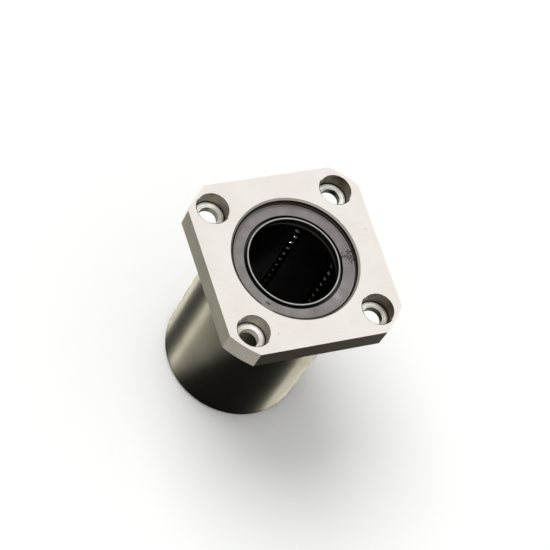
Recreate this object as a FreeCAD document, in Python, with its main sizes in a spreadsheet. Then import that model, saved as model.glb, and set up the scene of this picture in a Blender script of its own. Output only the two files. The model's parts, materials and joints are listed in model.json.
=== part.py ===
import FreeCAD, Part
import Sketcher
import os

# Flanged linear ball bearing, millimetres. The bore axis is Z, the square flange is at the top,
# the plain end of the sleeve stands on Z = 0, and the sides of the flange run along X and Y.
# Six closed ball circuits lie in the cage. Each one is a flat racetrack: a loaded row that
# carries the shaft, a return row beside it and a half-round turn at each end.

doc = FreeCAD.newDocument("LinearBallBearing")
sheet = doc.addObject("Spreadsheet::Sheet", "Sizes")

sizes = {
    # Shaft, balls and circuits
    "shaft_diameter": 25,
    "ball_diameter": 3.175,
    "ball_clearance": 0.08,
    "ball_gap": 0.07,
    "island_width": 3.088,
    "circuit_count": 6,
    "first_row_angle": 56,
    "land_width": 2.4,
    # Sleeve and flange
    "bearing_length": 59,
    "sleeve_wall": 2.85,
    "end_chamfer": 0.8,
    "undercut_width": 1.5,
    "undercut_depth": 0.25,
    "undercut_reach": 0.6,
    "flange_thickness": 7.5,
    "flange_overhang": 5,
    "edge_break": 0.3,
    "bolt_offset": 5.5,
    "bolt_edge": 5.5,
    "bolt_count": 4,
    "bolt_hole_diameter": 5.5,
    "bolt_head_diameter": 9,
    "bolt_seat_thickness": 2.4,
    # Seal seat and retaining ring at each end
    "mouth_chamfer": 0.5,
    "seat_step": 0.35,
    "ring_depth": 0.85,
    "ring_play": 0.05,
    "ring_thickness": 1.25,
    "ring_width": 0.85,
    "ring_groove_depth": 0.45,
    "ring_gap": 3.6,
    "ring_gap_position": 225,
    # Seal
    "seal_clearance": 0.05,
    "seal_thickness": 2.3,
    "seal_groove_depth": 1.2,
    "seal_groove_width": 0.8,
    "seal_groove_draft": 0.15,
    "lip_rise": 0.35,
    "lip_width": 0.45,
    "lip_lead": 0.05,
    "lip_contact": 0.6,
    "lip_back": 0.5,
    # Cage
    "cage_end_gap": 0.1,
    "cage_end_wall": 1.2,
    "cage_bore_gap": 0.4,
    "cage_lead": 0.8,
    "cage_clearance": 0.15,
    "key_clearance": 0.2,
}

for number_of_row, name in enumerate(sizes, 1):
    row = str(number_of_row)
    sheet.set("A" + row, name)
    sheet.set("B" + row, str(sizes[name]))
    sheet.setAlias("B" + row, name)
doc.recompute()

derived = doc.addObject("App::VarSet", "Derived")


def derive(name, expression):
    """Add a value that follows from the sizes."""
    derived.addProperty("App::PropertyFloat", name, "Derived")
    derived.setExpression(name, expression)


derive("ball_radius", "Sizes.ball_diameter / 2")
derive("row_radius", "Sizes.shaft_diameter / 2 + Derived.ball_radius")
derive("channel_radius", "Derived.ball_radius + Sizes.ball_clearance")
derive("turn_radius", "Sizes.island_width / 2 + Derived.channel_radius")
# Angle between two neighbours on a turn, so that they never touch there
derive("ball_step", "2 * asin((Sizes.ball_diameter + Sizes.ball_gap) / (2 * Derived.turn_radius)) / 1 deg")
derive("ball_pitch", "Derived.turn_radius * Derived.ball_step * pi / 180")
derive("land_radius", "Derived.row_radius + Derived.channel_radius")
derive("return_radius", "sqrt(Derived.row_radius ^ 2 + 4 * Derived.turn_radius ^ 2)")
derive("relief_radius", "Derived.return_radius + Derived.channel_radius")
derive("seat_radius", "Derived.relief_radius + Sizes.seat_step")
derive("groove_radius", "Derived.seat_radius + Sizes.ring_groove_depth")
derive("mouth_radius", "Derived.seat_radius + Sizes.mouth_chamfer")
derive("sleeve_radius", "Derived.relief_radius + Sizes.sleeve_wall")
derive("flange_half", "Derived.sleeve_radius + Sizes.flange_overhang")
derive("bolt_radius", "Derived.sleeve_radius + Sizes.bolt_offset")
derive("corner_radius", "Derived.bolt_radius + Sizes.bolt_edge")
derive("flange_back", "Sizes.bearing_length - Sizes.flange_thickness")
derive("middle", "Sizes.bearing_length / 2")
# Depths are measured from either end face of the bearing
derive("ring_front", "Sizes.ring_depth + Sizes.ring_play")
derive("seal_front", "Derived.ring_front + Sizes.ring_thickness")
derive("seal_back", "Derived.seal_front + Sizes.seal_thickness")
derive("cage_depth", "Derived.seal_back + Sizes.cage_end_gap")
derive("cage_length", "Sizes.bearing_length - 2 * Derived.cage_depth")
derive("cage_bore_radius", "Sizes.shaft_diameter / 2 + Sizes.cage_bore_gap")
derive("cage_radius", "Derived.relief_radius - Sizes.cage_clearance")
derive("ring_outer", "Derived.groove_radius - Sizes.ring_play")
derive("ring_gap_angle", "Sizes.ring_gap / Derived.ring_outer * 180 / pi")
# Distance from the end of a turn to the first ball of a row, and the balls that a row has room for
derive("row_lead", "2 * Derived.ball_pitch - pi * Derived.turn_radius / 2")
derive("row_room", "Derived.cage_length - 2 * (Sizes.cage_end_wall + Derived.turn_radius"
       " + Derived.channel_radius + Derived.row_lead)")
derive("row_count", "floor(Derived.row_room / Derived.ball_pitch) + 1")
derive("row_span", "(Derived.row_count - 1) * Derived.ball_pitch")
derive("straight", "Derived.row_span + 2 * Derived.row_lead")
doc.recompute()


def number(expression):
    """Present value of an expression, used to draw a sketch near its final shape."""
    result = sheet.evalExpression(expression)
    return float(getattr(result, "Value", result))


def new_body(label):
    body = doc.addObject("PartDesign::Body", label)
    body.Label = label
    return body


def new_sketch(body, name, role):
    """Sketch on one of the body's own origin planes."""
    sketch = body.newObject("Sketcher::SketchObject", name)
    plane = [f for f in body.Origin.OriginFeatures if f.Role == role][0]
    sketch.AttachmentSupport = [(plane, "")]
    sketch.MapMode = "FlatFace"
    return sketch


def lift(sketch, height):
    """Move a sketch along its normal by a bound height."""
    sketch.setExpression("AttachmentOffset.Base.z", height)


def pin(sketch, kind, geometry, point, expression):
    """Bind one coordinate of a sketch point to an expression."""
    index = sketch.addConstraint(Sketcher.Constraint(kind, -1, 1, geometry, point, number(expression)))
    name = kind + str(index)
    sketch.renameConstraint(index, name)
    sketch.setExpression("Constraints." + name, expression)


def radius(sketch, geometry, expression):
    """Bind the radius of a circle or an arc to an expression."""
    index = sketch.addConstraint(Sketcher.Constraint("Radius", geometry, number(expression)))
    name = "Radius" + str(index)
    sketch.renameConstraint(index, name)
    sketch.setExpression("Constraints." + name, expression)


def polygon(sketch, corners):
    """Closed outline with both coordinates of each corner bound."""
    points = [FreeCAD.Vector(number(x), number(y), 0) for x, y in corners]
    first = sketch.GeometryCount
    count = len(points)
    for i in range(count):
        sketch.addGeometry(Part.LineSegment(points[i], points[(i + 1) % count]), False)
    for i in range(count):
        following = first + (i + 1) % count
        sketch.addConstraint(Sketcher.Constraint("Coincident", first + i, 2, following, 1))
    for i in range(count):
        pin(sketch, "DistanceX", first + i, 1, corners[i][0])
        pin(sketch, "DistanceY", first + i, 1, corners[i][1])


def circle(sketch, x, y, size_expression):
    """Circle with its centre and radius bound."""
    centre = FreeCAD.Vector(number(x), number(y), 0)
    index = sketch.addGeometry(Part.Circle(centre, FreeCAD.Vector(0, 0, 1), number(size_expression)), False)
    pin(sketch, "DistanceX", index, 3, x)
    pin(sketch, "DistanceY", index, 3, y)
    radius(sketch, index, size_expression)


def channel(sketch, x):
    """Round-bottomed ball channel, open to the outside, centred at the given X."""
    top = "Derived.cage_radius"
    r = number("Derived.channel_radius")
    cx = number(x)
    high = number(top)
    arc = Part.ArcOfCircle(Part.Circle(FreeCAD.Vector(cx, 0, 0), FreeCAD.Vector(0, 0, 1), r),
                           3.141592653589793, 6.283185307179586)
    a = sketch.addGeometry(arc, False)
    right = sketch.addGeometry(
        Part.LineSegment(FreeCAD.Vector(cx + r, 0, 0), FreeCAD.Vector(cx + r, high, 0)), False)
    upper = sketch.addGeometry(
        Part.LineSegment(FreeCAD.Vector(cx + r, high, 0), FreeCAD.Vector(cx - r, high, 0)), False)
    left = sketch.addGeometry(
        Part.LineSegment(FreeCAD.Vector(cx - r, high, 0), FreeCAD.Vector(cx - r, 0, 0)), False)
    sketch.addConstraint(Sketcher.Constraint("Coincident", a, 2, right, 1))
    sketch.addConstraint(Sketcher.Constraint("Coincident", right, 2, upper, 1))
    sketch.addConstraint(Sketcher.Constraint("Coincident", upper, 2, left, 1))
    sketch.addConstraint(Sketcher.Constraint("Coincident", left, 2, a, 1))
    sketch.addConstraint(Sketcher.Constraint("Vertical", right))
    sketch.addConstraint(Sketcher.Constraint("Vertical", left))
    sketch.addConstraint(Sketcher.Constraint("Horizontal", upper))
    pin(sketch, "DistanceX", a, 3, x)
    sketch.addConstraint(Sketcher.Constraint("PointOnObject", a, 3, -1))
    sketch.addConstraint(Sketcher.Constraint("PointOnObject", a, 1, -1))
    sketch.addConstraint(Sketcher.Constraint("PointOnObject", a, 2, -1))
    radius(sketch, a, "Derived.channel_radius")
    pin(sketch, "DistanceY", upper, 1, top)


def revolve(body, name, sketch):
    feature = body.newObject("PartDesign::Revolution", name)
    feature.Profile = sketch
    feature.ReferenceAxis = (sketch, ["V_Axis"])
    feature.Angle = 360
    body.Tip = feature
    doc.recompute()
    return feature


def cut(body, name, sketch, length, both_ways):
    feature = body.newObject("PartDesign::Pocket", name)
    feature.Profile = sketch
    feature.SideType = "Symmetric" if both_ways else "One side"
    feature.setExpression("Length", length)
    body.Tip = feature
    doc.recompute()
    return feature


def around(body, name, features, count):
    """Repeat features evenly around the bore axis."""
    pattern = body.newObject("PartDesign::PolarPattern", name)
    pattern.Originals = features
    axis = [f for f in body.Origin.OriginFeatures if f.Role == "Z_Axis"][0]
    pattern.Axis = (axis, [""])
    pattern.Angle = 360
    pattern.setExpression("Occurrences", count)
    body.Tip = pattern
    doc.recompute()
    return pattern


def turn_body(body, expression):
    """Turn a finished piece about the bore axis by a bound angle."""
    body.Placement = FreeCAD.Placement(FreeCAD.Vector(0, 0, 0), FreeCAD.Rotation(FreeCAD.Vector(0, 0, 1), 10))
    body.setExpression("Placement.Rotation.Angle", expression)


# Flanged sleeve: turned in one piece with its flange, seal seats and ring grooves
sleeve = new_body("flanged_sleeve")
profile = new_sketch(sleeve, "sleeve_profile", "XZ_Plane")
polygon(profile, [
    ("Derived.mouth_radius", "0"),
    ("Derived.sleeve_radius - Sizes.end_chamfer", "0"),
    ("Derived.sleeve_radius", "Sizes.end_chamfer"),
    ("Derived.sleeve_radius", "Derived.flange_back - Sizes.undercut_width"),
    ("Derived.sleeve_radius - Sizes.undercut_depth", "Derived.flange_back - Sizes.undercut_width"),
    ("Derived.sleeve_radius - Sizes.undercut_depth", "Derived.flange_back + Sizes.undercut_depth"),
    ("Derived.sleeve_radius + Sizes.undercut_reach", "Derived.flange_back + Sizes.undercut_depth"),
    ("Derived.sleeve_radius + Sizes.undercut_reach", "Derived.flange_back"),
    ("Derived.corner_radius", "Derived.flange_back"),
    ("Derived.corner_radius", "Sizes.bearing_length"),
    ("Derived.mouth_radius", "Sizes.bearing_length"),
    ("Derived.seat_radius", "Sizes.bearing_length - Sizes.mouth_chamfer"),
    ("Derived.seat_radius", "Sizes.bearing_length - Sizes.ring_depth"),
    ("Derived.groove_radius", "Sizes.bearing_length - Sizes.ring_depth"),
    ("Derived.groove_radius", "Sizes.bearing_length - Derived.seal_front"),
    ("Derived.seat_radius", "Sizes.bearing_length - Derived.seal_front"),
    ("Derived.seat_radius", "Sizes.bearing_length - Derived.seal_back"),
    ("Derived.relief_radius", "Sizes.bearing_length - Derived.seal_back"),
    ("Derived.relief_radius", "Derived.seal_back"),
    ("Derived.seat_radius", "Derived.seal_back"),
    ("Derived.seat_radius", "Derived.seal_front"),
    ("Derived.groove_radius", "Derived.seal_front"),
    ("Derived.groove_radius", "Sizes.ring_depth"),
    ("Derived.seat_radius", "Sizes.ring_depth"),
    ("Derived.seat_radius", "Sizes.mouth_chamfer"),
])
revolve(sleeve, "sleeve_turned", profile)

# Raceway lands that the loaded rows roll on
land_sketch = new_sketch(sleeve, "land_sketch", "XY_Plane")
land_sketch.AttachmentOffset = FreeCAD.Placement(
    FreeCAD.Vector(0, 0, 1), FreeCAD.Rotation(FreeCAD.Vector(0, 0, 1), 10))
lift(land_sketch, "Derived.middle")
land_sketch.setExpression("AttachmentOffset.Rotation.Angle", "Sizes.first_row_angle")
polygon(land_sketch, [
    ("Derived.land_radius", "-Sizes.land_width / 2"),
    ("Derived.relief_radius + Sizes.sleeve_wall / 2", "-Sizes.land_width / 2"),
    ("Derived.relief_radius + Sizes.sleeve_wall / 2", "Sizes.land_width / 2"),
    ("Derived.land_radius", "Sizes.land_width / 2"),
])
land = sleeve.newObject("PartDesign::Pad", "raceway_land")
land.Profile = land_sketch
land.SideType = "Symmetric"
land.setExpression("Length", "Derived.straight")
sleeve.Tip = land
doc.recompute()
around(sleeve, "raceway_lands", [land], "Sizes.circuit_count")

# Four flats milled on the round flange, which leave its corners turned
flat_sketch = new_sketch(sleeve, "flat_sketch", "XY_Plane")
lift(flat_sketch, "Sizes.bearing_length")
inside = "Derived.flange_half"
outside = "(Derived.corner_radius + Sizes.flange_overhang)"
polygon(flat_sketch, [("-" + inside, "-" + inside), (inside, "-" + inside),
                      (inside, inside), ("-" + inside, inside)])
polygon(flat_sketch, [("-" + outside, "-" + outside), (outside, "-" + outside),
                      (outside, outside), ("-" + outside, outside)])
cut(sleeve, "flange_flats", flat_sketch, "Sizes.flange_thickness + Sizes.undercut_width", False)

# Bolt holes with recesses for the screw heads, on the diagonals of the flange
head_sketch = new_sketch(sleeve, "bolt_head_sketch", "XY_Plane")
lift(head_sketch, "Sizes.bearing_length")
corner = "Derived.bolt_radius * cos(45)"
circle(head_sketch, corner, corner, "Sizes.bolt_head_diameter / 2")
head = cut(sleeve, "bolt_head_recess", head_sketch, "Sizes.flange_thickness - Sizes.bolt_seat_thickness", False)
hole_sketch = new_sketch(sleeve, "bolt_hole_sketch", "XY_Plane")
lift(hole_sketch, "Sizes.bearing_length")
circle(hole_sketch, corner, corner, "Sizes.bolt_hole_diameter / 2")
hole = cut(sleeve, "bolt_hole", hole_sketch, "Sizes.flange_thickness + Sizes.undercut_width", False)
bolt_holes = around(sleeve, "bolt_holes", [head, hole], "Sizes.bolt_count")


def flange_edges(shape):
    """Names of the flange's outer edges, front and back, and of the rims of the bolt recesses and holes."""
    near_plane = 0.001
    top = number("Sizes.bearing_length")
    back = number("Derived.flange_back")
    beyond = number("Derived.sleeve_radius + 2 * Sizes.undercut_reach")
    names = []
    for i, edge in enumerate(shape.Edges):
        box = edge.BoundBox
        middle = edge.valueAt((edge.FirstParameter + edge.LastParameter) / 2)
        flat = box.ZLength < near_plane and min(abs(middle.z - top), abs(middle.z - back)) < near_plane
        if flat and (middle.x ** 2 + middle.y ** 2) ** 0.5 > beyond:
            names.append("Edge" + str(i + 1))
    return names


broken = sleeve.newObject("PartDesign::Chamfer", "broken_edges")
broken.Base = (bolt_holes, flange_edges(bolt_holes.Shape))
broken.setExpression("Size", "Sizes.edge_break")
sleeve.Tip = broken
doc.recompute()

# Ball cage: a moulded ring keyed over the lands, with one racetrack for each circuit
cage = new_body("ball_cage")
cage_sketch = new_sketch(cage, "cage_profile", "XZ_Plane")
cage_top = "Sizes.bearing_length - Derived.cage_depth"
cage_mouth = "Derived.cage_bore_radius + Sizes.cage_lead"
polygon(cage_sketch, [
    ("Derived.cage_bore_radius", "Derived.cage_depth + Sizes.cage_lead"),
    (cage_mouth, "Derived.cage_depth"),
    ("Derived.cage_radius", "Derived.cage_depth"),
    ("Derived.cage_radius", cage_top),
    (cage_mouth, cage_top),
    ("Derived.cage_bore_radius", cage_top + " - Sizes.cage_lead"),
])
revolve(cage, "cage_ring", cage_sketch)
key_sketch = new_sketch(cage, "keyway_sketch", "XY_Plane")
lift(key_sketch, "Derived.middle")
key_half = "Sizes.land_width / 2 + Sizes.key_clearance"
key_floor = "Derived.land_radius - Sizes.cage_clearance"
polygon(key_sketch, [
    (key_floor, "-(" + key_half + ")"),
    ("Derived.sleeve_radius", "-(" + key_half + ")"),
    ("Derived.sleeve_radius", key_half),
    (key_floor, key_half),
])
keyway = cut(cage, "keyway", key_sketch, "Sizes.bearing_length", True)


def track_sketch(name, height, places):
    """Section of the track in its own frame: Y points away from the bore, X along the track's width."""
    sketch = new_sketch(cage, name, "XY_Plane")
    sketch.AttachmentOffset = FreeCAD.Placement(
        FreeCAD.Vector(1, 1, 1), FreeCAD.Rotation(FreeCAD.Vector(0, 0, 1), -90))
    sketch.setExpression("AttachmentOffset.Base.x", "Derived.row_radius")
    sketch.setExpression("AttachmentOffset.Base.y", "Derived.turn_radius")
    sketch.setExpression("AttachmentOffset.Base.z", height)
    for place in places:
        channel(sketch, place)
    return sketch


near = "Derived.turn_radius"
far = "-Derived.turn_radius"
rows = cut(cage, "track_rows", track_sketch("rows_sketch", "Derived.middle", [near, far]),
           "Derived.straight", True)


def track_turn(name, height, upward):
    """Half turn that joins the two rows of a track."""
    sketch = track_sketch(name + "_sketch", height, [near])
    feature = cage.newObject("PartDesign::Groove", name)
    feature.Profile = sketch
    feature.ReferenceAxis = (sketch, ["V_Axis"])
    feature.Angle = 180
    feature.Reversed = upward
    cage.Tip = feature
    doc.recompute()
    return feature


front_turn = track_turn("front_turn", "Derived.middle + Derived.straight / 2", True)
rear_turn = track_turn("rear_turn", "Derived.middle - Derived.straight / 2", False)
around(cage, "tracks", [keyway, rows, front_turn, rear_turn], "Sizes.circuit_count")
turn_body(cage, "Sizes.first_row_angle")


def make_seal(label, at):
    """Rubber wiper seal; at() gives the height of a depth below its end face."""
    body = new_body(label)
    sketch = new_sketch(body, label + "_profile", "XZ_Plane")
    lip_inner = "Sizes.shaft_diameter / 2"
    lip_outer = "Sizes.shaft_diameter / 2 + Sizes.lip_lead + Sizes.lip_width"
    groove_outer = lip_outer + " + Sizes.seal_groove_width"
    rim = "Derived.seat_radius - Sizes.seal_clearance"
    groove_floor = at("Derived.seal_front + Sizes.seal_groove_depth")
    polygon(sketch, [
        (rim, at("Derived.seal_back")),
        (rim, at("Derived.seal_front")),
        (groove_outer, at("Derived.seal_front")),
        (groove_outer + " - Sizes.seal_groove_draft", groove_floor),
        (lip_outer + " + Sizes.seal_groove_draft", groove_floor),
        (lip_outer, at("Derived.seal_front - Sizes.lip_rise")),
        (lip_inner + " + Sizes.lip_lead", at("Derived.seal_front - Sizes.lip_rise")),
        (lip_inner, groove_floor),
        (lip_inner, at("Derived.seal_front + Sizes.seal_groove_depth + Sizes.lip_contact")),
        (lip_inner + " + Sizes.lip_back", at("Derived.seal_back")),
    ])
    revolve(body, label + "_moulded", sketch)
    return body


def make_ring(label, at):
    """Spring retaining ring, open at its gap, which holds the seal in its seat."""
    body = new_body(label)
    sketch = new_sketch(body, label + "_profile", "XZ_Plane")
    inner = "Derived.ring_outer - Sizes.ring_width"
    polygon(sketch, [
        (inner, at("Derived.ring_front")),
        ("Derived.ring_outer", at("Derived.ring_front")),
        ("Derived.ring_outer", at("Derived.seal_front")),
        (inner, at("Derived.seal_front")),
    ])
    feature = revolve(body, label + "_formed", sketch)
    feature.setExpression("Angle", "360 - Derived.ring_gap_angle")
    doc.recompute()
    turn_body(body, "Sizes.ring_gap_position + Derived.ring_gap_angle / 2")
    return body


def front(depth):
    return "Sizes.bearing_length - (" + depth + ")"


def rear(depth):
    return depth


pieces = [sleeve, cage]
pieces.append(make_seal("front_seal", front))
pieces.append(make_seal("rear_seal", rear))
pieces.append(make_ring("front_retaining_ring", front))
pieces.append(make_ring("rear_retaining_ring", rear))
doc.recompute()


def ball(name, along, height):
    """One ball of the first circuit, in the circuit's own plane."""
    sphere = doc.addObject("Part::Sphere", name)
    sphere.setExpression("Radius", "Derived.ball_radius")
    sphere.setExpression("Placement.Base.x", "Derived.row_radius")
    sphere.setExpression("Placement.Base.y", along)
    sphere.setExpression("Placement.Base.z", height)
    return sphere


row_count = int(round(derived.row_count))
groups = {"loaded_balls": [], "return_balls": [], "front_turn_balls": [], "rear_turn_balls": []}
for i in range(row_count):
    height = "Derived.middle - Derived.row_span / 2 + " + str(i) + " * Derived.ball_pitch"
    groups["loaded_balls"].append(ball("loaded_" + str(i), "0", height))
    groups["return_balls"].append(ball("return_" + str(i), "2 * Derived.turn_radius", height))
for i in (-1, 0, 1):
    angle = "(" + str(i) + " * Derived.ball_step)"
    along = "Derived.turn_radius * (1 + sin(" + angle + "))"
    reach = "(Derived.straight / 2 + Derived.turn_radius * cos(" + angle + "))"
    tag = str(i + 1)
    groups["front_turn_balls"].append(ball("front_turn_" + tag, along, "Derived.middle + " + reach))
    groups["rear_turn_balls"].append(ball("rear_turn_" + tag, along, "Derived.middle - " + reach))

# The same balls stand in each circuit, turned about the bore axis
for k in range(int(sheet.circuit_count)):
    for group in groups:
        train = doc.addObject("Part::Compound", group + "_" + str(k + 1))
        train.Links = groups[group]
        train.Label = group + "_" + str(k + 1)
        turn_body(train, "Sizes.first_row_angle + " + str(k) + " * 360 / Sizes.circuit_count")
        pieces.append(train)
doc.recompute()

for item in doc.Objects:
    if "Invalid" in item.State or "Error" in item.State:
        raise RuntimeError(item.Name + " " + " ".join(item.State))

os.makedirs("parts", exist_ok=True)
for piece in pieces:
    if piece.Shape.isNull() or not piece.Shape.isValid():
        raise RuntimeError(piece.Label + " has no valid shape")
    piece.Shape.exportStep("parts/" + piece.Label + ".step")
    box = piece.Shape.BoundBox
    print(piece.Label, len(piece.Shape.Solids), round(piece.Shape.Volume, 2),
          [round(v, 3) for v in (box.XMin, box.XMax, box.YMin, box.YMax, box.ZMin, box.ZMax)])
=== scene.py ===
import json
import math

import bpy
from mathutils import Matrix, Vector


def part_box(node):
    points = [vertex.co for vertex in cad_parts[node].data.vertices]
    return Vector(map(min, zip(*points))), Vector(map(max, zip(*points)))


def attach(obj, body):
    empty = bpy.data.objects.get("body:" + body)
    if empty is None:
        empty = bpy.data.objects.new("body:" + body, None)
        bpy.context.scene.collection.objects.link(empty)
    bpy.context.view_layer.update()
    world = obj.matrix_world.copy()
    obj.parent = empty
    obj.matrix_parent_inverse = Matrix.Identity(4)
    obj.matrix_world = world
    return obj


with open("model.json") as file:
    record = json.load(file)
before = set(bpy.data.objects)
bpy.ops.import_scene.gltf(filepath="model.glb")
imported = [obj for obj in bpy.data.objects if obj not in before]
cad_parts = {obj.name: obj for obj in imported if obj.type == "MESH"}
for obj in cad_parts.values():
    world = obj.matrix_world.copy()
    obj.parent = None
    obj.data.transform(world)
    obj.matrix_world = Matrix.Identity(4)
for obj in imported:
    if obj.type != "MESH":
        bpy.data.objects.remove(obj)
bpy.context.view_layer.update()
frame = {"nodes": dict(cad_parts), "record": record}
nodes = frame["nodes"]
bolt_mount = next(mount for mount in frame["record"]["mounts"] if mount["name"] == "flange_bolts")

MM = 0.001
MICRON = 1e-6

# Sizes that the finishes follow, in millimetres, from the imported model
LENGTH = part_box("flanged_sleeve")[1].z / MM
FLANGE_BACK = bolt_mount["pos_m"][2] / MM
BOLT_PLACE = bolt_mount["dims"]["pcd_mm"] / 2 * math.cos(math.radians(45))
HOLE_RADIUS = bolt_mount["dims"]["hole_r_mm"]
SEAL_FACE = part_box("front_retaining_ring")[0].z / MM
SEAL_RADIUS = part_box("front_seal")[1].x / MM
# Sizes of single features, as in the part's source
EDGE_BREAK = 0.3
CORNER_RADIUS = 31.0
RECESS_RADIUS = 4.5
RECESS_DEPTH = 5.1
MOUTH_RADIUS = 18.0
LIP_OUTER = 13.0
GROOVE_OUTER = 13.8
# A face this near to a size belongs to it
NEAR = 0.01
# Upright share of a face's direction: a wall has less than the first, a level face more than the second
WALL = 0.3
LEVEL = 0.9

# Spacing of the slow clouds in each kind of surface, in millimetres
STEEL_CLOUD = 9
RUBBER_CLOUD = 3.5
POLISH_CLOUD = 1.2
# The grain counts for a share of the clouds, and tone and gloss follow the sum over these ranges
GRAIN_SHARE = 0.6
TONE_RANGE = (0.55, 1.0)
GLOSS_RANGE = (0.5, 1.1)
# How far the roughness moves either way
GLOSS_CHANGE = 0.025
# Half width of the step between two tones, in millimetres
TONE_STEP = 0.05
# What is added to the noise of specks at the middle of a mark and at its reach, and where a speck shows
MARK_MIDDLE = 0.25
MARK_REACH = -0.3
SPECK_RANGE = (0.55, 0.66)


def linear(hex_colour):
    """sRGB hex to the linear colour that shaders use."""
    parts = [int(hex_colour[i:i + 2], 16) / 255 for i in (1, 3, 5)]
    return tuple(p / 12.92 if p <= 0.04045 else ((p + 0.055) / 1.055) ** 2.4 for p in parts) + (1.0,)


def add(tree, kind, inputs=None, **settings):
    """One node with its settings; an input is a value or the output socket that feeds it."""
    node = tree.nodes.new(kind)
    for key, value in settings.items():
        setattr(node, key, value)
    for key, value in (inputs or {}).items():
        if isinstance(value, bpy.types.NodeSocket):
            tree.links.new(value, node.inputs[key])
        else:
            node.inputs[key].default_value = value
    return node


def new_material(name, metallic):
    """A material with one shader, and the place on the piece that its patterns read."""
    material = bpy.data.materials.new(name)
    material.use_nodes = True
    tree = material.node_tree
    tree.nodes.clear()
    shader = add(tree, "ShaderNodeBsdfPrincipled", {"Metallic": metallic})
    add(tree, "ShaderNodeOutputMaterial", {"Surface": shader.outputs["BSDF"]})
    where = add(tree, "ShaderNodeTexCoord").outputs["Object"]
    return material, tree, shader, where


def blend(tree, value, low, high, first, second, step="LINEAR"):
    """Colour that goes from the first to the second as the value goes from low to high."""
    amount = {"Value": value, "From Min": low, "From Max": high}
    amount = add(tree, "ShaderNodeMapRange", amount, interpolation_type=step).outputs["Result"]
    both = {"Factor": amount, "A": first, "B": second}
    return add(tree, "ShaderNodeMix", both, data_type="RGBA").outputs["Result"]


def from_axis(tree, where, bolts):
    """Distance from the bore's axis, or from the nearest bolt's axis."""
    flat = add(tree, "ShaderNodeVectorMath", {0: where, 1: (1, 1, 0)}, operation="MULTIPLY").outputs[0]
    if bolts:
        bolt = (BOLT_PLACE * MM, BOLT_PLACE * MM, 0)
        flat = add(tree, "ShaderNodeVectorMath", {0: flat}, operation="ABSOLUTE").outputs[0]
        flat = add(tree, "ShaderNodeVectorMath", {0: flat, 1: bolt}, operation="SUBTRACT").outputs[0]
    return add(tree, "ShaderNodeVectorMath", {0: flat}, operation="LENGTH").outputs["Value"]


def past(tree, colour, measure, edge_mm, other):
    """Another colour where the measure is past an edge: painted shade in a corner or low on a wall, a
    painted highlight on a rim, or a darker edge.
    """
    low = (edge_mm - TONE_STEP) * MM
    high = (edge_mm + TONE_STEP) * MM
    return blend(tree, measure, low, high, colour, linear(other), "SMOOTHSTEP")


def mark(tree, where, colour, place_mm, reach_mm, speck_mm, other):
    """Specks of another colour round one place, which thin out towards their reach."""
    place = tuple(value * MM for value in place_mm)
    distance = add(tree, "ShaderNodeVectorMath", {0: where, 1: place}, operation="DISTANCE").outputs["Value"]
    near = {"Value": distance, "From Max": reach_mm * MM, "To Min": MARK_MIDDLE, "To Max": MARK_REACH}
    near = add(tree, "ShaderNodeMapRange", near).outputs["Result"]
    grit = {"Vector": where, "Scale": 1 / (speck_mm * MM), "Detail": 2.0}
    grit = add(tree, "ShaderNodeTexNoise", grit).outputs["Fac"]
    dense = add(tree, "ShaderNodeMath", {0: grit, 1: near}, operation="ADD").outputs[0]
    return blend(tree, dense, *SPECK_RANGE, colour, linear(other))


def surface(tree, shader, where, lines, looks, grain_mm, cloud_mm, bump_um):
    """Fine grain and slow clouds in colour, gloss and relief. Returns the colour."""
    light, dark, roughness = looks
    grain = {"Vector": lines, "Scale": 1 / (grain_mm * MM), "Detail": 2.0, "Roughness": 0.6}
    grain = add(tree, "ShaderNodeTexNoise", grain).outputs["Fac"]
    cloud = {"Vector": where, "Scale": 1 / (cloud_mm * MM), "Detail": 3.0}
    cloud = add(tree, "ShaderNodeTexNoise", cloud).outputs["Fac"]
    both = {0: grain, 1: GRAIN_SHARE, 2: cloud}
    both = add(tree, "ShaderNodeMath", both, operation="MULTIPLY_ADD").outputs[0]
    gloss = {"Value": both, "From Min": GLOSS_RANGE[0], "From Max": GLOSS_RANGE[1],
             "To Min": roughness + GLOSS_CHANGE, "To Max": roughness - GLOSS_CHANGE}
    gloss = add(tree, "ShaderNodeMapRange", gloss).outputs["Result"]
    tree.links.new(gloss, shader.inputs["Roughness"])
    relief = add(tree, "ShaderNodeBump", {"Height": grain, "Distance": bump_um * MICRON, "Strength": 0.5})
    tree.links.new(relief.outputs["Normal"], shader.inputs["Normal"])
    return blend(tree, both, *TONE_RANGE, linear(dark), linear(light))


def steel(name, looks, lay, stretch, grain_mm, bump_um, corner=None, along_axis=0.0, edge_tint="#FFFFFF",
          marks=()):
    """Cut steel, with tool lines laid straight, round the bore or round the bolts."""
    material, tree, shader, where = new_material(name, 1.0)
    height = add(tree, "ShaderNodeSeparateXYZ", {0: where}).outputs["Z"]
    space = where
    if lay != "straight":
        distance = from_axis(tree, where, lay == "round bolts")
        space = add(tree, "ShaderNodeCombineXYZ", {"X": distance, "Z": height}).outputs[0]
    lines = add(tree, "ShaderNodeMapping", {"Vector": space, "Scale": stretch}).outputs["Vector"]
    colour = surface(tree, shader, where, lines, looks, grain_mm, STEEL_CLOUD, bump_um)
    if corner:
        measure, edge_mm, other = corner
        if measure == "depth":
            deep = add(tree, "ShaderNodeMath", {0: LENGTH * MM, 1: height}, operation="SUBTRACT").outputs[0]
        else:
            deep = distance
        colour = past(tree, colour, deep, edge_mm, other)
    for place_mm, reach_mm, speck_mm, other in marks:
        colour = mark(tree, where, colour, place_mm, reach_mm, speck_mm, other)
    tree.links.new(colour, shader.inputs["Base Color"])
    shader.inputs["Specular Tint"].default_value = linear(edge_tint)
    if along_axis:
        # Lines round a shaft throw light up and down its length
        shader.inputs["Anisotropic"].default_value = along_axis
        axis = add(tree, "ShaderNodeCombineXYZ", {"Z": 1.0}).outputs[0]
        tree.links.new(axis, shader.inputs["Tangent"])
    return material


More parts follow.
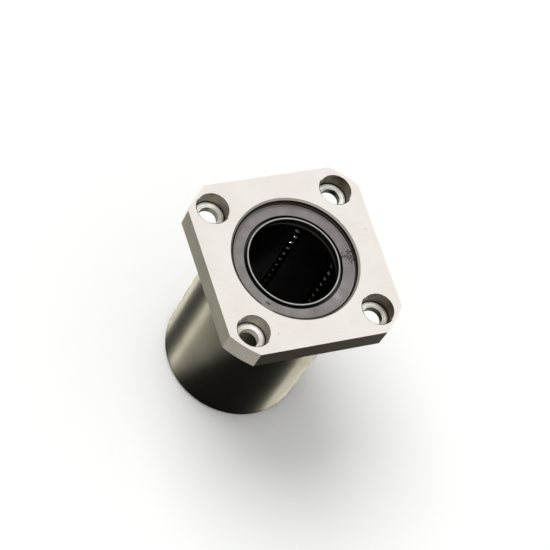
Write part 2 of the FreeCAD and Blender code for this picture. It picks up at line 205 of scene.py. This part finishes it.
def moulded(name, looks, grain_mm, bump_um, rim=None, marks=(), shine=0.5):
    """Moulded rubber or plastic: cloudy tone and the fine grain of the mould."""
    material, tree, shader, where = new_material(name, 0.0)
    shader.inputs["Specular IOR Level"].default_value = shine
    colour = surface(tree, shader, where, where, looks, grain_mm, RUBBER_CLOUD, bump_um)
    if rim:
        colour = past(tree, colour, from_axis(tree, where, False), *rim)
    for place_mm, reach_mm, speck_mm, other in marks:
        colour = mark(tree, where, colour, place_mm, reach_mm, speck_mm, other)
    tree.links.new(colour, shader.inputs["Base Color"])
    return material


def polished(name, looks):
    """Metal with an even polish and a slight tone from heat treatment or oil."""
    material, tree, shader, where = new_material(name, 1.0)
    colour = surface(tree, shader, where, where, looks, POLISH_CLOUD, POLISH_CLOUD, 0.05)
    tree.links.new(colour, shader.inputs["Base Color"])
    return material


# Finishes of the sleeve and its flange, one piece of through-hardened bearing steel.
# The flange's face is surface-ground: almost white, satin, with straight lines along X. Real lines lie
# 0.03 mm apart, and are drawn at 0.2 mm so that the picture can hold them. It has two small handling marks,
# each with its place, reach, size of specks and colour.
HANDLING_MARKS = [((22.2, 5.1, LENGTH), 0.6, 0.3, "#B9B2AA"), ((-12.0, -20.1, LENGTH), 0.6, 0.3, "#C4BDB6")]
face_steel = steel("ground_bearing_steel", ("#F2ECE6", "#EAE4DD", 0.30), "straight", (0.012, 1, 1),
                   0.2, 0.4, marks=HANDLING_MARKS)
# Edges of the face, rubbed smooth with a fine stone: as pale as the face and glossier
edge_steel = steel("stoned_bearing_steel", ("#F2ECE6", "#EAE4DD", 0.12), "straight", (1, 1, 1), 0.6, 0.1)
# Milled sides: duller and greyer, with short upright cutter marks
side_steel = steel("milled_bearing_steel", ("#76715E", "#696453", 0.22), "straight", (1, 1, 0.03), 0.3, 0.6)
# The other two sides, brown-black: a painted shade
dark_side_steel = steel("painted_shade_side_steel", ("#302B26", "#25211D", 0.22), "straight", (1, 1, 0.03),
                        0.3, 0.6, edge_tint="#CBC8C4")
# Corners, turned to the corner diameter: brighter than the milled sides
corner_steel = steel("turned_corner_steel", ("#9C958C", "#8D867D", 0.28), "straight", (1, 1, 0.03), 0.3, 0.6)
# Counterbored walls: dull, with lines round the hole and painted shade at the foot. Two of the four are
# darker, as painted shade.
# Painted shade at the foot of the recess walls and round the edge of the seats: its colour, height and width
CORNER_SHADE = "#241F1B"
SHADE_HEIGHT = 0.3
SHADE_WIDTH = 0.2
foot_shade = ("depth", RECESS_DEPTH - SHADE_HEIGHT, CORNER_SHADE)
recess_steel = steel("counterbored_bearing_steel", ("#A59E92", "#5F5950", 0.42), "round bolts", (1, 1, 1),
                     0.45, 1.0, corner=foot_shade)
dark_recess_steel = steel("painted_shade_counterbored_bearing_steel", ("#7A7164", "#4A433A", 0.42), "round bolts",
                          (1, 1, 1), 0.45, 1.0, corner=foot_shade)
# Flat seats of the screw heads: bright rings from the end mill, and painted shade in the corner
seat_steel = steel("end_milled_bearing_steel", ("#FFFFFB", "#A19B90", 0.9), "round bolts", (1, 1, 1),
                   0.3, 3.0, corner=("radius", RECESS_RADIUS - SHADE_WIDTH, CORNER_SHADE))
# Drilled bolt holes: rough, with the drill's rings; the two on the +X side are darker, as painted shade
drilled_steel = steel("drilled_bearing_steel", ("#A39C91", "#4A443C", 0.45), "round bolts", (1, 1, 1),
                      0.5, 1.5)
dark_drilled_steel = steel("painted_shade_drilled_bearing_steel", ("#5E564C", "#37312B", 0.45), "round bolts",
                           (1, 1, 1), 0.5, 1.5)
# Outside of the sleeve, ground with lines round it: almost black, a painted shade, with soft bands of light
# along its length.
# Real lines are finer than 0.02 mm, and are drawn at 0.3 mm.
sleeve_steel = steel("painted_shade_ground_bearing_steel", ("#14130F", "#100F0C", 0.52), "round bore", (0, 1, 1),
                     0.3, 0.1, along_axis=0.95, edge_tint="#C8C8C8")
# Turned edge of the mouth, end and back of the flange: grey, with fine rings
turned_steel = steel("turned_bearing_steel", ("#A7A198", "#938D83", 0.36), "round bore", (1, 1, 1), 0.3, 0.6)
# Ring grooves and bore, turned: dark as painted shade, with fine rings
shaded_turned_steel = steel("painted_shade_turned_bearing_steel", ("#3A3631", "#2C2925", 0.4), "round bore", (1, 1, 1),
                   0.3, 0.6)

# Nitrile rubber, compression moulded: mid grey with a soft sheen, a paler rim that is a painted highlight,
# specks of grease from the ring's groove and one light scuff
GREASE = ((15.8, -1.0, SEAL_FACE), 5.0, 0.5, "#3B3735")
SCUFF = ((8.6, -11.5, SEAL_FACE), 3.4, 0.35, "#9C9899")
# Width of the painted highlight round the seal's rim
RIM_WIDTH = 0.6
seal_rubber = moulded("moulded_nitrile_seal", ("#8A8482", "#736D6C", 0.40), 0.2, 6,
                      rim=(SEAL_RADIUS - RIM_WIDTH, "#B4AFAA"), marks=[GREASE, SCUFF])
# Trimmed lip: the cut edge is paler than the moulded skin, and its outer corner is dark
LIP_CORNER = 0.15
lip_rubber = moulded("trimmed_nitrile_lip", ("#BDB9B5", "#A5A19D", 0.35), 0.15, 2,
                     rim=(LIP_OUTER - LIP_CORNER, "#4A4644"))
# Groove and inside of the lip: black, as painted shade
shaded_rubber = moulded("painted_shade_nitrile_groove", ("#1C1A1A", "#121111", 0.3), 0.15, 2)
# Gate where the rubber was fed in: torn off and dull, its dark tone a painted shade
gate_rubber = moulded("torn_nitrile_gate", ("#5A5553", "#3F3B3A", 0.6), 0.15, 8)
# Acetal, injection moulded, black and half glossy
cage_polymer = moulded("moulded_acetal_cage", ("#080707", "#050404", 0.3), 0.2, 3, shine=0.25)

# Spring steel rings, hardened and oil-blackened, with browner edges that are darker below a set depth as
# painted shade
ring_steel = polished("blackened_spring_steel", ("#2A2724", "#1C1A18", 0.35))
RING_SHADE_DEPTH = 1.7
ring_wall_steel = steel("brown_edged_shaded_spring_steel", ("#6E655A", "#574F46", 0.4), "round bore", (1, 1, 1),
                        0.3, 0.4, corner=("depth", RING_SHADE_DEPTH, "#1A1613"))
# Chrome steel balls, lapped to a mirror; their dark tone is painted shade
ball_steel = polished("lapped_chrome_steel", ("#4A4A48", "#3E3E3C", 0.08))


def finish_faces(node, finishes, choose):
    """Give each face of a node the finish that choose() names for its middle and its direction."""
    mesh = node.data
    mesh.materials.clear()
    for finish in finishes:
        mesh.materials.append(finish)
    for face in mesh.polygons:
        face.material_index = finishes.index(choose(face.center / MM, face.normal))


def sleeve_finish(place, normal):
    """Finish of the sleeve and flange: from the bore outwards, and the flange's sides last."""
    radius = math.hypot(place.x, place.y)
    from_bolt = math.hypot(abs(place.x) - BOLT_PLACE, abs(place.y) - BOLT_PLACE)
    upright = abs(normal.z) < WALL
    level = abs(normal.z) > LEVEL
    if radius < MOUTH_RADIUS + EDGE_BREAK:
        return shaded_turned_steel if upright or level else turned_steel
    if place.z < FLANGE_BACK + NEAR:
        return turned_steel if level else sleeve_steel
    # Holes and recess walls on the +X side take the darker finishes, which are painted shade
    if from_bolt < HOLE_RADIUS + EDGE_BREAK + NEAR and not level:
        return drilled_steel if place.x < 0 else dark_drilled_steel
    if from_bolt < RECESS_RADIUS + NEAR and level and place.z < LENGTH - RECESS_DEPTH + NEAR:
        return seat_steel
    if from_bolt < RECESS_RADIUS + NEAR and upright:
        return recess_steel if place.x < 0 else dark_recess_steel
    if normal.z > WALL:
        return face_steel if level else edge_steel
    if radius > CORNER_RADIUS - EDGE_BREAK - NEAR:
        return corner_steel
    # The sides facing along Y take the darker finish, which is painted shade
    return side_steel if abs(normal.x) > abs(normal.y) else dark_side_steel


def seal_finish(place, normal):
    """Finish of a seal: the lip's outer end is trimmed, and its groove and inside are black with painted
    shade.
    """
    radius = math.hypot(place.x, place.y)
    outer = max(place.z, LENGTH - place.z) > SEAL_FACE
    if radius < LIP_OUTER and abs(normal.z) > LEVEL and outer:
        return lip_rubber
    return shaded_rubber if radius < GROOVE_OUTER - NEAR else seal_rubber


def ring_finish(place, normal):
    """Finish of a spring ring: flat sides or edges."""
    return ring_steel if abs(normal.z) > LEVEL else ring_wall_steel


finish_faces(nodes["flanged_sleeve"],
             [face_steel, edge_steel, side_steel, dark_side_steel, corner_steel, recess_steel,
              dark_recess_steel, seat_steel, drilled_steel, dark_drilled_steel, sleeve_steel, turned_steel,
              shaded_turned_steel],
             sleeve_finish)
for end in ("front", "rear"):
    finish_faces(nodes[end + "_seal"], [seal_rubber, lip_rubber, shaded_rubber], seal_finish)
    finish_faces(nodes[end + "_retaining_ring"], [ring_steel, ring_wall_steel], ring_finish)
finish_faces(nodes["ball_cage"], [cage_polymer], lambda place, normal: cage_polymer)
for name, node in nodes.items():
    if "balls" in name:
        finish_faces(node, [ball_steel], lambda place, normal: ball_steel)

# Gate mark on the front seal: a low torn ridge across the face, flat side down. Its size is given in
# millimetres from its middle.
GATE_RADIUS = 15.1
GATE_TURN = math.radians(223.4)
GATE_SIZE = Vector((0.30, 0.75, 0.22))
GATE_TEAR = 0.05
gate_place = Vector((GATE_RADIUS * math.cos(GATE_TURN), GATE_RADIUS * math.sin(GATE_TURN), SEAL_FACE)) * MM
bpy.ops.object.select_all(action="DESELECT")
bpy.ops.mesh.primitive_uv_sphere_add(segments=24, ring_count=12, radius=MM, location=gate_place)
gate_mark = bpy.context.object
gate_mark.name = "seal_gate_mark"
bpy.ops.object.mode_set(mode="EDIT")
bpy.ops.transform.resize(value=GATE_SIZE, center_override=gate_place)
bpy.ops.mesh.bisect(plane_co=gate_place, plane_no=(0, 0, 1), clear_inner=True, threshold=MICRON)
bpy.ops.mesh.select_all(action="DESELECT")
bpy.ops.mesh.select_non_manifold()
bpy.ops.mesh.edge_face_add()
bpy.ops.mesh.select_all(action="SELECT")
bpy.ops.mesh.normals_make_consistent(inside=False)
bpy.ops.transform.vertex_random(offset=GATE_TEAR * MM, seed=4)
bpy.ops.object.mode_set(mode="OBJECT")
gate_mark.rotation_euler.z = GATE_TURN
bpy.ops.object.transform_apply(location=True, rotation=True, scale=True)
bpy.ops.object.shade_smooth_by_angle(angle=math.radians(50))
gate_mark.data.materials.append(gate_rubber)
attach(gate_mark, "housing")

# White paper floor, dull and wide enough to fill the picture
bpy.ops.object.select_all(action="DESELECT")
bpy.ops.mesh.primitive_plane_add(size=8.0, location=(0, 0, 0))
floor = bpy.context.object
floor.name = "floor"
paper, _, paper_shader, _ = new_material("white_paper_floor", 0.0)
paper_shader.inputs["Base Color"].default_value = linear("#FDFDFC")
paper_shader.inputs["Roughness"].default_value = 0.9
paper_shader.inputs["Specular IOR Level"].default_value = 0.0
floor.data.materials.append(paper)


def towards(azimuth, elevation):
    """Unit vector to a point of the studio, from angles in degrees. Azimuth counts from X towards Y."""
    turn = math.radians(azimuth)
    rise = math.radians(elevation)
    return Vector((math.cos(rise) * math.cos(turn), math.cos(rise) * math.sin(turn), math.sin(rise)))


# Studio: white surroundings for the camera and for reflections, and a fill for matt surfaces
FILL = 0.62
world = bpy.data.worlds.new("studio")
bpy.context.scene.world = world
world.use_nodes = True
tree = world.node_tree
tree.nodes.clear()
path = add(tree, "ShaderNodeLightPath").outputs
seen = add(tree, "ShaderNodeMath", {0: path["Is Camera Ray"], 1: path["Is Glossy Ray"]}, operation="MAXIMUM")
seen = add(tree, "ShaderNodeMath", {0: seen.outputs[0], 1: path["Is Transmission Ray"]}, operation="MAXIMUM")
strength = add(tree, "ShaderNodeMapRange", {"Value": seen.outputs[0], "To Min": FILL, "To Max": 1.0})
sky = add(tree, "ShaderNodeBackground", {"Color": (1, 1, 1, 1), "Strength": strength.outputs["Result"]})
add(tree, "ShaderNodeOutputWorld", {"Surface": sky.outputs["Background"]})

# Soft key from behind on the left, for matt surfaces
key = bpy.data.objects.new("key", bpy.data.lights.new("key", "SUN"))
key.data.energy = 1.6
key.data.angle = math.radians(40)
key.rotation_euler = towards(108, 62).to_track_quat("Z", "Y").to_euler()
key.visible_glossy = False
bpy.context.collection.objects.link(key)


def gridded(name, place, heading, shape, width, height, level):
    """A lamp behind a narrow grid. Its beam stays as wide as the lamp, and it only makes highlights."""
    lamp = bpy.data.objects.new(name, bpy.data.lights.new(name, "AREA"))
    lamp.data.shape = shape
    lamp.data.size = width
    lamp.data.size_y = height
    lamp.data.spread = math.radians(3)
    lamp.data.energy = level * width * height
    lamp.location = place
    lamp.rotation_euler = heading.to_track_quat("Z", "Y").to_euler()
    lamp.visible_diffuse = False
    lamp.visible_camera = False
    bpy.context.collection.objects.link(lamp)


# Upright strips round the sleeve, below the flange: azimuth, level and lower end in millimetres
STRIP_TOP = FLANGE_BACK - 3.5
STRIP_WIDTH = 0.05
STRIP_DISTANCE = 0.14
STRIPS = [(106, 60, 1), (122, 60, 1), (166, 57, 1), (306, 42, 1), (319, 42, 1), (332, 42, 1)]
# Weaker strips, each starting higher than the one before, let the light fade slantwise under the flange
FADE_STRIPS = 10
STRIPS += [(177 + 5 * step, 7.2 - 0.55 * step, 1 + 4 * step) for step in range(FADE_STRIPS)]
for azimuth, level, low in STRIPS:
    middle = Vector((0, 0, (low + STRIP_TOP) / 2 * MM))
    gridded(f"strip_{azimuth}", towards(azimuth, 0) * STRIP_DISTANCE + middle, towards(azimuth, 0),
            "RECTANGLE", STRIP_WIDTH, (STRIP_TOP - low) * MM, level)

# Small spots straight down the four screw recesses
SPOT_WIDTH = (RECESS_RADIUS * 2 - 1.0) * MM
SPOT_HEIGHT = LENGTH + 20
SPOT_LEVEL = 2.3
for x in (-BOLT_PLACE, BOLT_PLACE):
    for y in (-BOLT_PLACE, BOLT_PLACE):
        above = Vector((x, y, SPOT_HEIGHT)) * MM
        gridded(f"recess_spot_{x:.0f}_{y:.0f}", above, Vector((0, 0, 1)), "DISK", SPOT_WIDTH, SPOT_WIDTH,
                SPOT_LEVEL)

# One spot slantwise into the bore, for points of light on the first balls of the rows
BORE_SPOT_WIDTH = 0.012
BORE_SPOT_DISTANCE = 0.1
BORE_SPOT_LEVEL = 2.4
bore_aim = Vector((0, 0, (LENGTH - 4.5) * MM))
bore_heading = towards(212, 42)
gridded("bore_spot", bore_heading * BORE_SPOT_DISTANCE + bore_aim, bore_heading, "DISK", BORE_SPOT_WIDTH,
        BORE_SPOT_WIDTH, BORE_SPOT_LEVEL)

# Camera at the photograph's viewing angle, as fitted to the flange's corners, the recesses and the mouth
camera = bpy.data.objects.new("photo_camera", bpy.data.cameras.new("photo_camera"))
camera.data.sensor_width = 36.0
camera.data.lens = 151.63
right = Vector((0.90418, -0.30320, 0.30089)).normalized()
forward = Vector((0.39993, 0.35341, -0.84567)).normalized()
up = right.cross(forward).normalized()
place = Vector((-249.685, -217.841, 571.249)) * MM
camera.matrix_world = Matrix.Translation(place) @ Matrix((right, up, -forward)).transposed().to_4x4()
bpy.context.collection.objects.link(camera)
bpy.context.scene.camera = camera
bpy.context.scene.view_settings.view_transform = "Standard"
